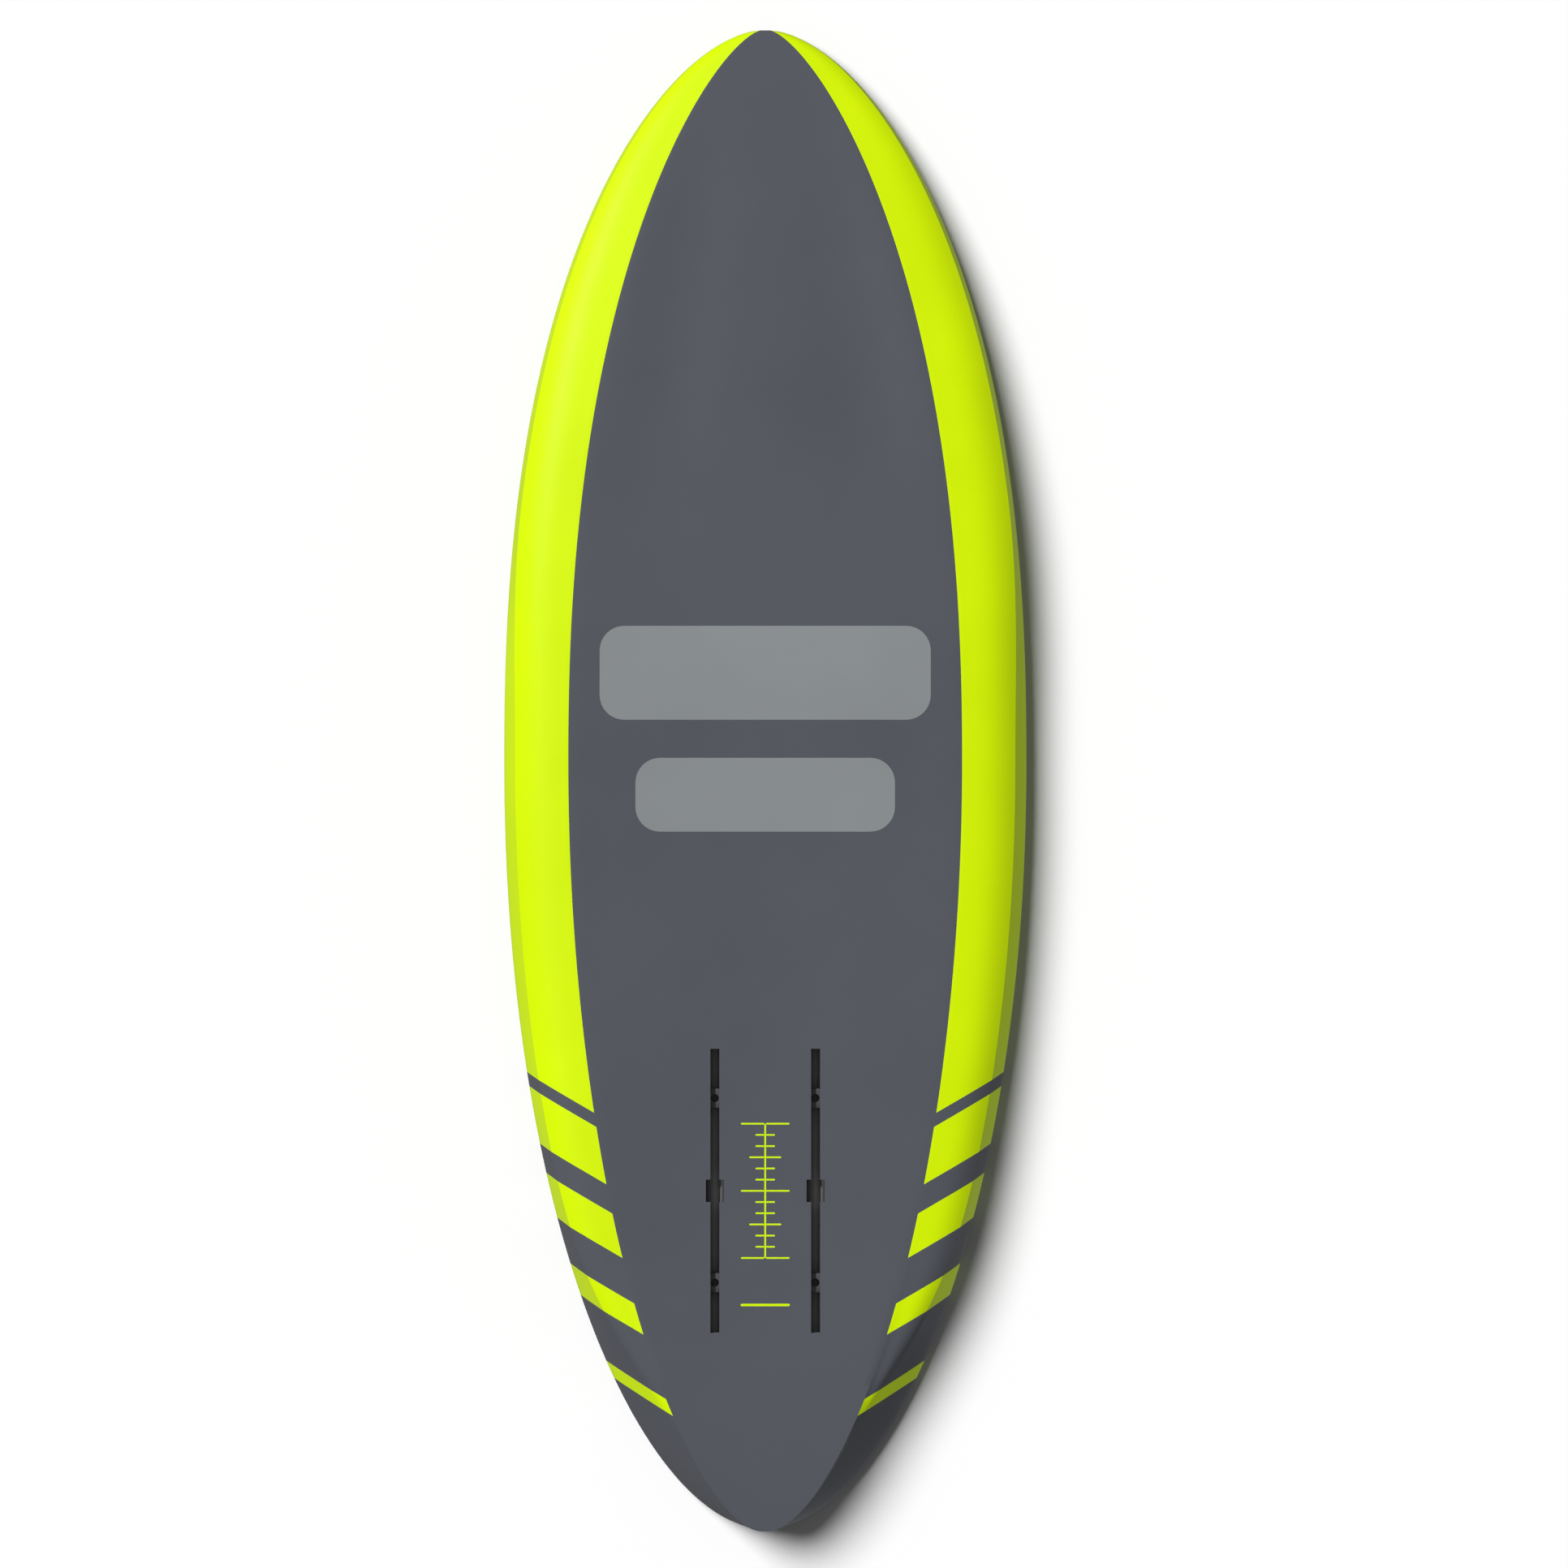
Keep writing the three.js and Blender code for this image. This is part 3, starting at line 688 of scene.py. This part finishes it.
def make_skins():
    paints = (GREY, LIME_PAINT, EDGE)
    hull_mesh = skin_mesh("hull_laminate", hull_row, True, hull_band)
    hull = new_object("hull_laminate", hull_mesh, *paints)
    for corners in track_mouths():
        vertices, faces = box_parts([corners])
        cut(hull, new_object("cutter", mesh_from("cutter", vertices, faces), GREY))
    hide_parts("bottom_skin")
    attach(hull, "board")
    deck_mesh = skin_mesh("deck_laminate", deck_row, False, deck_band)
    deck = new_object("deck_laminate", deck_mesh, *paints)
    below, above = DECK_Z - CUTTER_REACH, DECK_Z + CUTTER_REACH
    for node, gap in round_fittings():
        low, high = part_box(node)
        radius = (high.x - low.x) / 2 + gap
        centre = ((low.x + high.x) / 2, (low.y + high.y) / 2)
        profile = [(0, below), (radius, below), (radius, above), (0, above)]
        cut(deck, new_object("cutter", turned("cutter", profile, centre), EDGE))
    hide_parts("deck_skin")
    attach(deck, "board")


def round_fittings():
    """Each round fitting let into the deck skin, with the gap around its flange."""
    inserts = [node for node in sorted(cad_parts) if node.startswith("strap_insert")]
    return [(node, ROUND_GAP) for node in [*inserts, "vent_housing", "leash_plug_cup"]]


# ---- threads and small fittings ----

THREAD_SIDES = 40
LEVELS_PER_TURN = 8
THREAD_DEPTH = 0.55  # over the pitch


def threaded_rod(name, radius, pitch, low, high, centre):
    """A rod with a helical V thread cut into it, whose crests have the given radius."""
    levels = max(2, round((high - low) / pitch * LEVELS_PER_TURN))
    vertices = []
    for level in range(levels + 1):
        z = lerp(low, high, level / levels)
        for i in range(THREAD_SIDES):
            share = i / THREAD_SIDES
            phase = (z / pitch - share) % 1
            depth = THREAD_DEPTH * pitch * abs(2 * phase - 1)
            angle = 2 * math.pi * share
            reach = radius - depth
            x, y = reach * math.cos(angle), reach * math.sin(angle)
            vertices.append((centre[0] + x, centre[1] + y, z))
    faces = ring_faces(levels + 1, THREAD_SIDES)
    faces.append(tuple(range(THREAD_SIDES)))
    faces.append(tuple(levels * THREAD_SIDES + i for i in range(THREAD_SIDES)))
    return mesh_from(name, vertices, faces, 60)


def rounded(profile, radius, steps=4):
    """A (radius, z) profile with its corners rounded, apart from those on the axis."""
    closed = profile[0][0] > 0
    count = len(profile)
    points = []
    for i, corner in enumerate(profile):
        corner = Vector(corner)
        if not closed and i in (0, count - 1):
            points.append(tuple(corner))
            continue
        before = Vector(profile[i - 1]) - corner
        after = Vector(profile[(i + 1) % count]) - corner
        cut_back = min(radius, 0.45 * before.length, 0.45 * after.length)
        start = corner + before.normalized() * cut_back
        end = corner + after.normalized() * cut_back
        for step in range(steps + 1):
            t = step / steps
            points.append(tuple(start * (1 - t) ** 2 + corner * 2 * t * (1 - t) + end * t**2))
    return points


def fitting(piece, node, body="board"):
    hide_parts(node)
    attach(piece, body)
    return piece


def centre_of(node):
    low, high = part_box(node)
    return (low.x + high.x) / 2, (low.y + high.y) / 2


def bevelled_block(name, low, high, bevel):
    vertices, faces = box_parts([(low, high)])
    mesh = mesh_from(name, vertices, faces)
    work = bmesh.new()
    work.from_mesh(mesh)
    bmesh.ops.bevel(work, geom=work.edges[:], offset=bevel, segments=3, profile=0.5, affect="EDGES")
    work.to_mesh(mesh)
    work.free()
    finish_mesh(mesh)
    return mesh


NUT_THREAD = {"radius": 4.05 * MM, "pitch": 1.25 * MM}
INSERT_THREAD = {"radius": 3.3 * MM, "pitch": 1.0 * MM}
NUT_BEVEL = 0.8 * MM
THREAD_OVERRUN = 1 * MM


def make_nuts():
    for node in sorted(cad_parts):
        if not node.startswith("t_nut"):
            continue
        low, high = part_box(node)
        name = node.replace("t_nut", "threaded_nut")
        nut = new_object(name, bevelled_block(name, low, high, NUT_BEVEL), BLACK_STEEL)
        bottom, top = low.z - THREAD_OVERRUN, high.z + THREAD_OVERRUN
        cutter = threaded_rod("cutter", **NUT_THREAD, low=bottom, high=top, centre=centre_of(node))
        cut(nut, new_object("cutter", cutter, BLACK_STEEL))
        nut.data.set_sharp_from_angle(angle=math.radians(40))
        fitting(nut, node, node)


INSERT_BORE_DEPTH = 18 * MM
INSERT_BODY = 8 * MM
RIB_HEIGHT = 0.35 * MM
RIBS = 5
RIB_MARGIN = 1 * MM


def make_strap_inserts():
    """Each insert: a flange, a ribbed body that the resin grips and a threaded blind bore."""
    for node in sorted(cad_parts):
        if not node.startswith("strap_insert"):
            continue
        low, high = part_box(node)
        centre = centre_of(node)
        flange = (high.x - low.x) / 2
        profile = [(0, low.z), (flange, low.z), (flange, low.z + SKIN)]
        start = low.z + SKIN + RIB_MARGIN
        step = (high.z - RIB_MARGIN - start) / (2 * RIBS)
        profile.append((INSERT_BODY - RIB_HEIGHT, low.z + SKIN))
        for i in range(2 * RIBS + 1):
            radius = INSERT_BODY - (RIB_HEIGHT if i % 2 else 0)
            profile.append((radius, start + i * step))
        profile += [(INSERT_BODY - RIB_HEIGHT, high.z), (0, high.z)]
        name = node.replace("strap_insert", "insert")
        insert = new_object(name, turned(name, rounded(profile, 0.5 * MM), centre), PLASTIC)
        bottom, top = low.z - THREAD_OVERRUN, low.z + INSERT_BORE_DEPTH
        cutter = threaded_rod("cutter", **INSERT_THREAD, low=bottom, high=top, centre=centre)
        cut(insert, new_object("cutter", cutter, PLASTIC))
        fitting(insert, node)


VENT_BODY = 13 * MM
VENT_CLEARANCE = 0.7 * MM
VENT_HEAD_HEIGHT = 3.5 * MM
VENT_SHANK = 4.5 * MM
VENT_SLOT = (13 * MM, 1.6 * MM, 1.5 * MM)
VENT_PITCH = 1.25 * MM
SEAL_INNER = 5.2 * MM


def make_vent():
    centre = centre_of("vent_housing")
    low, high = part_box("vent_housing")
    screw_low, screw_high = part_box("vent_screw")
    seal_low, seal_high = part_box("vent_seal")
    head = (screw_high.x - screw_low.x) / 2
    recess = head + VENT_CLEARANCE
    seat = seal_high.z + 0.3 * MM
    bore = VENT_SHANK + VENT_CLEARANCE
    flange = (high.x - low.x) / 2
    profile = [
        (0, screw_high.z + VENT_CLEARANCE),
        (bore, screw_high.z + VENT_CLEARANCE),
        (bore, seat),
        (recess, seat),
        (recess, low.z),
        (flange, low.z),
        (flange, low.z + SKIN),
        (VENT_BODY, low.z + SKIN),
        (VENT_BODY, high.z),
        (0, high.z),
    ]
    housing = new_object("vent_body", turned("vent_body", rounded(profile, 0.7 * MM), centre), PLASTIC)
    fitting(housing, "vent_housing")
    head_floor = screw_low.z + VENT_HEAD_HEIGHT
    profile = [
        (0, screw_low.z),
        (head, screw_low.z),
        (head, head_floor),
        (VENT_SHANK - 0.3 * MM, head_floor),
        (VENT_SHANK - 0.3 * MM, screw_high.z - 1 * MM),
        (0, screw_high.z - 1 * MM),
    ]
    plug = turned("vent_plug", rounded(profile, 0.6 * MM), centre)
    screw = new_object("vent_plug", plug, BRIGHT_STEEL)
    thread = threaded_rod("thread", VENT_SHANK, VENT_PITCH, seat + 0.5 * MM, screw_high.z, centre)
    join(screw, new_object("thread", thread, BRIGHT_STEEL))
    length, width, depth = VENT_SLOT
    corners = [
        (centre[0] - length / 2, centre[1] - width / 2, screw_low.z - 1 * MM),
        (centre[0] + length / 2, centre[1] + width / 2, screw_low.z + depth),
    ]
    vertices, faces = box_parts([corners])
    cut(screw, new_object("cutter", mesh_from("cutter", vertices, faces), BRIGHT_STEEL))
    fitting(screw, "vent_screw", "vent_screw")
    inner, outer = SEAL_INNER, (seal_high.x - seal_low.x) / 2
    ring = o_ring("vent_o_ring", inner, outer, seal_low.z, seal_high.z, centre)
    fitting(new_object("vent_o_ring", ring, RUBBER), "vent_seal", "vent_seal")


def o_ring(name, inner, outer, low, high, centre, steps=20):
    """A ring whose section is an ellipse."""
    profile = []
    for i in range(steps):
        angle = 2 * math.pi * i / steps
        radius = (inner + outer) / 2 + (outer - inner) / 2 * math.cos(angle)
        profile.append((radius, (low + high) / 2 + (high - low) / 2 * math.sin(angle)))
    return turned(name, profile, centre, sharp=60)


def join(piece, other):
    boolean = piece.modifiers.new("join", "BOOLEAN")
    boolean.operation = "UNION"
    boolean.solver = "EXACT"
    boolean.object = other
    evaluated(piece)
    bpy.data.objects.remove(other)
    finish_mesh(piece.data, 50)
    return piece


LEASH_BODY = 14 * MM
LEASH_BOWL = 11 * MM
LEASH_BOWL_DEPTH = 16 * MM


def make_leash_plug():
    centre = centre_of("leash_plug_cup")
    low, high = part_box("leash_plug_cup")
    bar_low, bar_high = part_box("leash_bar")
    flange = (high.x - low.x) / 2
    profile = [
        (0, low.z + LEASH_BOWL_DEPTH),
        (LEASH_BOWL, low.z + LEASH_BOWL_DEPTH),
        (LEASH_BOWL, low.z),
        (flange, low.z),
        (flange, low.z + SKIN),
        (LEASH_BODY, low.z + SKIN),
        (LEASH_BODY, high.z),
        (0, high.z),
    ]
    cup = new_object("leash_cup", turned("leash_cup", rounded(profile, 1.2 * MM), centre), PLASTIC)
    bar_z = (bar_low.z + bar_high.z) / 2
    radius = (bar_high.z - bar_low.z) / 2
    half = (bar_high.x - bar_low.x) / 2
    hole = lying_rod("cutter", radius + 0.25 * MM, half + 0.3 * MM, centre, bar_z, 0)
    cut(cup, new_object("cutter", hole, PLASTIC))
    fitting(cup, "leash_plug_cup")
    pin = lying_rod("leash_pin", radius, half, centre, bar_z, 0.6 * MM)
    bar = new_object("leash_pin", pin, BRIGHT_STEEL)
    fitting(bar, "leash_bar")


def lying_rod(name, radius, half, centre, z, chamfer):
    """A rod along X with chamfered ends."""
    profile = [(0, -half), (radius - chamfer, -half), (radius, -half + chamfer)]
    profile += [(r, -along) for r, along in reversed(profile)]
    mesh = turned(name, rounded(profile, chamfer / 2) if chamfer else profile, (0, 0), sides=32)
    mesh.transform(Matrix.Translation((*centre, z)) @ Matrix.Rotation(math.pi / 2, 4, "Y"))
    mesh.update()
    return mesh


# ---- deck pads ----

PAD_INSET = 10 * MM
PAD_SEAM = 8 * MM
PAD_HOLE = 13 * MM
TILE = 17 * MM
GROOVE = 3 * MM
GROOVE_DEPTH = 1.4 * MM
PAD_CHAMFER = 2.2 * MM
HOLE_OVERRUN = 1 * MM


def tiled_line(length, pitch):
    """Places along a tiled line, each with how deep it lies: chamfered ends and grooves between tiles."""
    tiles = max(1, round(length / pitch))
    size = length / tiles
    places = [(0.0, 1.0), (PAD_CHAMFER, 0.0)]
    for i in range(1, tiles):
        middle = i * size
        for offset, depth in ((-0.5, 0.0), (-0.25, 1.0), (0.25, 1.0), (0.5, 0.0)):
            places.append((middle + offset * GROOVE, depth))
    places += [(length - PAD_CHAMFER, 0.0), (length, 1.0)]
    return places


def pad_mesh(name, rear, front, inner, side, thickness):
    """A pad on the flat deck from inner out to the deck's rounded edge, or right across if side is 0."""
    rows = tiled_line(front - rear, TILE)
    middle_y = (rear + front) / 2
    widest = DECK_FLAT_SHARE * half_width(OUTLINE, middle_y) - PAD_INSET
    span = 2 * widest if side == 0 else widest - inner
    columns = tiled_line(span, TILE)
    count = len(columns)
    vertices = []
    for along, row_depth in rows:
        y = rear + along
        edge = DECK_FLAT_SHARE * half_width(OUTLINE, y) - PAD_INSET
        low_x, high_x = (-edge, edge) if side == 0 else (inner, edge)
        for across, column_depth in columns:
            x = lerp(low_x, high_x, across / span)
            depth = GROOVE_DEPTH * max(row_depth, column_depth)
            vertices.append((x * (side or 1), y, depth))
    under = len(vertices)
    vertices += [(x, y, thickness) for x, y, _ in vertices]
    faces = []
    for r in range(len(rows) - 1):
        for c in range(count - 1):
            a, b = r * count + c, (r + 1) * count + c
            faces.append((a, a + 1, b + 1, b))
            faces.append((under + a, under + b, under + b + 1, under + a + 1))
    last = (len(rows) - 1) * count
    rim = list(range(count - 1))
    rim += [r * count + count - 1 for r in range(len(rows) - 1)]
    rim += [last + c for c in range(count - 1, 0, -1)]
    rim += [r * count for r in range(len(rows) - 1, 0, -1)]
    for a, b in zip(rim, rim[1:] + rim[:1]):
        faces.append((a, b, under + b, under + a))
    return mesh_from(name, vertices, faces, 25)


def make_pads():
    inserts = [node for node in sorted(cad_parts) if node.startswith("strap_insert")]
    for node in sorted(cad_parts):
        if "pad" not in node:
            continue
        low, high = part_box(node)
        side = 0 if node == "tail_pad" else (-1 if "left" in node else 1)
        name = node.replace("pad", "grip")
        mesh = pad_mesh(name, low.y, high.y, PAD_SEAM / 2, side, high.z)
        pad = new_object(name, mesh, PAD_FOAM)
        for insert in inserts:
            x, y = centre_of(insert)
            if low.x - PAD_HOLE < x < high.x + PAD_HOLE and low.y < y < high.y:
                below, above = -HOLE_OVERRUN, high.z + HOLE_OVERRUN
                profile = [(0, below), (PAD_HOLE, below), (PAD_HOLE, above), (0, above)]
                cut(pad, new_object("cutter", turned("cutter", profile, (x, y)), PAD_FOAM))
        fitting(pad, node)


# ---- printed marks ----

PRINT_LIFT = 0.12 * MM
PRINT_SINK = 0.3 * MM


def hull_surface(x, y):
    share = min(abs(x) / panel_half(y), 1.0)
    return hull_height(y) - concave_depth(y, share)


def printed_bar(name, x, y, width, length, radius, steps=8, columns=40):
    """A thin print on the hull panel: a bar with rounded corners, width across and length along."""
    places = []
    for i in range(steps + 1):
        angle = math.pi / 2 * i / steps
        places.append((-length / 2 + radius * (1 - math.cos(angle)), radius * (1 - math.sin(angle))))
    rows = places + [(-along, inset) for along, inset in reversed(places)]
    top, under = [], []
    for along, inset in rows:
        for c in range(columns + 1):
            px = x + (width / 2 - inset) * (2 * c / columns - 1)
            z = hull_surface(px, y + along)
            top.append((px, y + along, z + PRINT_LIFT))
            under.append((px, y + along, z - PRINT_SINK))
    count = columns + 1
    shift = len(top)
    faces = []
    for r in range(len(rows) - 1):
        for c in range(columns):
            a, b = r * count + c, (r + 1) * count + c
            faces.append((a, a + 1, b + 1, b))
            faces.append((shift + a, shift + b, shift + b + 1, shift + a + 1))
    last = (len(rows) - 1) * count
    rim = list(range(columns)) + [r * count + columns for r in range(len(rows) - 1)]
    rim += [last + c for c in range(columns, 0, -1)] + [r * count for r in range(len(rows) - 1, 0, -1)]
    for a, b in zip(rim, rim[1:] + rim[:1]):
        faces.append((a, b, shift + b, shift + a))
    return mesh_from(name, top + under, faces, 40)


PALE_BARS = (
    ("pale_bar_front", 95 * MM, 296 * MM, 84 * MM),
    ("pale_bar_rear", -14 * MM, 232 * MM, 66 * MM),
)
PALE_BAR_CORNER = 22 * MM

SCALE_Y = (-428 * MM, -308 * MM)  # the tick scale between the tracks, for setting the foil's place
SCALE_PITCH = 10 * MM
TICK_WIDTH = 1.5 * MM
TICK_LENGTHS = (16 * MM, 27 * MM, 42 * MM)  # single, every third and every sixth tick
THIN_BAR = (-470 * MM, 44 * MM, 2.2 * MM)


def merged_mesh(name, meshes):
    work = bmesh.new()
    for mesh in meshes:
        work.from_mesh(mesh)
        bpy.data.meshes.remove(mesh)
    mesh = bpy.data.meshes.new(name)
    work.to_mesh(mesh)
    work.free()
    finish_mesh(mesh, 40)
    return mesh


def tick_scale():
    """A plain scale of ticks along the board, with a spine down its middle."""
    rear, front = SCALE_Y
    count = round((front - rear) / SCALE_PITCH)
    spine = printed_bar("spine", 0, (rear + front) / 2, TICK_WIDTH, front - rear, TICK_WIDTH / 2, 3, 2)
    ticks = [spine]
    for i in range(count + 1):
        single, third, sixth = TICK_LENGTHS
        length = sixth if i % 6 == 0 else (third if i % 3 == 0 else single)
        y = rear + i * SCALE_PITCH
        for side in (-1, 1):
            x = side * (length / 4 + TICK_WIDTH / 2)
            ticks.append(printed_bar("tick", x, y, length / 2, TICK_WIDTH, TICK_WIDTH / 2, 3, 4))
    return merged_mesh("tick_scale", ticks)


def make_prints():
    for name, y, width, length in PALE_BARS:
        bar = new_object(name, printed_bar(name, 0, y, width, length, PALE_BAR_CORNER), MARK)
        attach(bar, "board")
    y, width, length = THIN_BAR
    line = printed_bar("thin_bar", 0, y, width, length, length / 2, 4, 8)
    for name, mesh in (("tick_scale", tick_scale()), ("thin_bar", line)):
        lime_print = new_object(name, mesh, LIME_PAINT)
        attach(lime_print, "board")


# ---- inner pieces that keep their CAD shape ----

INNER = {
    "core_left": FOAM,
    "core_right": FOAM,
    "core_centre_front": FOAM,
    "core_centre_tail": FOAM,
    "stringer_left": WOOD,
    "stringer_right": WOOD,
    "foil_box_block": DENSE,
    "deck_sandwich_sheet": DENSE,
    "track_left": PAINTED_SHADE_TRACK_PLASTIC,
    "track_right": PAINTED_SHADE_TRACK_PLASTIC,
}


def dress_inner():
    for node, material in INNER.items():
        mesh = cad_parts[node].data
        mesh.materials.clear()
        mesh.materials.append(material)


# ---- camera, light and floor ----

FIELD = 1408.2 * MM  # width of the view at the board
VIEW_CENTRE = Vector((16.8 * MM, -4.4 * MM, 0))
LENS = 250  # in millimetres, as the sensor's width is
SENSOR = 36
CAMERA_REACH = 200
KEY_FROM = Vector((-0.65, 0.45, 1.0))
SHADOW_FROM = Vector((-0.55, 0.42, 1.0))
SKY = 0.31
KEY_ENERGY = 2.72
KEY_ANGLE = 5  # degrees across, as the next one is
SHADOW_ANGLE = 32
FLOOR_TONE = 0.3
FLOOR_HALF = 60
BACKDROP_RADIUS = 30  # near enough for a view's camera to see


def linked_sun(name, towards, energy, angle, floor, state):
    """A sun that lights only the floor, or everything but the floor."""
    sun = bpy.data.objects.new(name, bpy.data.lights.new(name, "SUN"))
    bpy.context.scene.collection.objects.link(sun)
    sun.data.energy = energy
    sun.data.angle = math.radians(angle)
    sun.rotation_mode = "QUATERNION"
    sun.rotation_quaternion = towards.to_track_quat("Z", "Y")
    receivers = bpy.data.collections.new(name + "_receivers")
    receivers.objects.link(floor)
    sun.light_linking.receiver_collection = receivers
    receivers.collection_objects[0].light_linking.link_state = state


def make_floor():
    corners = ((-1, -1), (1, -1), (1, 1), (-1, 1))
    vertices = [(x * FLOOR_HALF, y * FLOOR_HALF, 0) for x, y in corners]
    shader = Shader("floor", (FLOOR_TONE, FLOOR_TONE, FLOOR_TONE), 1.0, Specular_IOR_Level=0.0)
    floor = new_object("floor", mesh_from("floor", vertices, [(0, 1, 2, 3)]), shader.material)
    floor.visible_diffuse = False  # the board's rails take their fill from the sky alone
    floor.visible_glossy = False
    return floor


def make_backdrop():
    """A white dome that only the camera sees, so that low views look past the floor at plain white."""
    work = bmesh.new()
    bmesh.ops.create_uvsphere(work, u_segments=48, v_segments=24, radius=BACKDROP_RADIUS)
    mesh = bpy.data.meshes.new("backdrop")
    work.to_mesh(mesh)
    work.free()
    shader = Shader("backdrop", (0, 0, 0), 1.0, Emission_Color=(1, 1, 1, 1), Emission_Strength=1.0)
    backdrop = new_object("backdrop", mesh, shader.material)
    backdrop.visible_diffuse = False
    backdrop.visible_glossy = False
    backdrop.visible_transmission = False
    backdrop.visible_shadow = False


def make_stage():
    camera = bpy.data.objects.new("camera", bpy.data.cameras.new("camera"))
    bpy.context.scene.collection.objects.link(camera)
    camera.data.lens = LENS
    camera.data.sensor_width = SENSOR
    distance = FIELD * LENS / SENSOR
    camera.location = VIEW_CENTRE + Vector((0, 0, rail_height(0) + distance))
    camera.data.clip_end = CAMERA_REACH
    bpy.context.scene.camera = camera

    make_backdrop()
    floor = make_floor()
    linked_sun("key", KEY_FROM, KEY_ENERGY, KEY_ANGLE, floor, "EXCLUDE")
    floor_light = (1.0 / FLOOR_TONE - SKY) * math.pi * SHADOW_FROM.length
    linked_sun("shadow_key", SHADOW_FROM, floor_light, SHADOW_ANGLE, floor, "INCLUDE")

    world = bpy.data.worlds.new("studio")
    bpy.context.scene.world = world
    world.use_nodes = True
    world.node_tree.nodes["Background"].inputs["Color"].default_value = (1, 1, 1, 1)
    world.node_tree.nodes["Background"].inputs["Strength"].default_value = SKY
    bpy.context.scene.view_settings.view_transform = "Standard"


make_stage()
make_skins()
make_nuts()
make_strap_inserts()
make_vent()
make_leash_plug()
make_pads()
make_prints()
dress_inner()
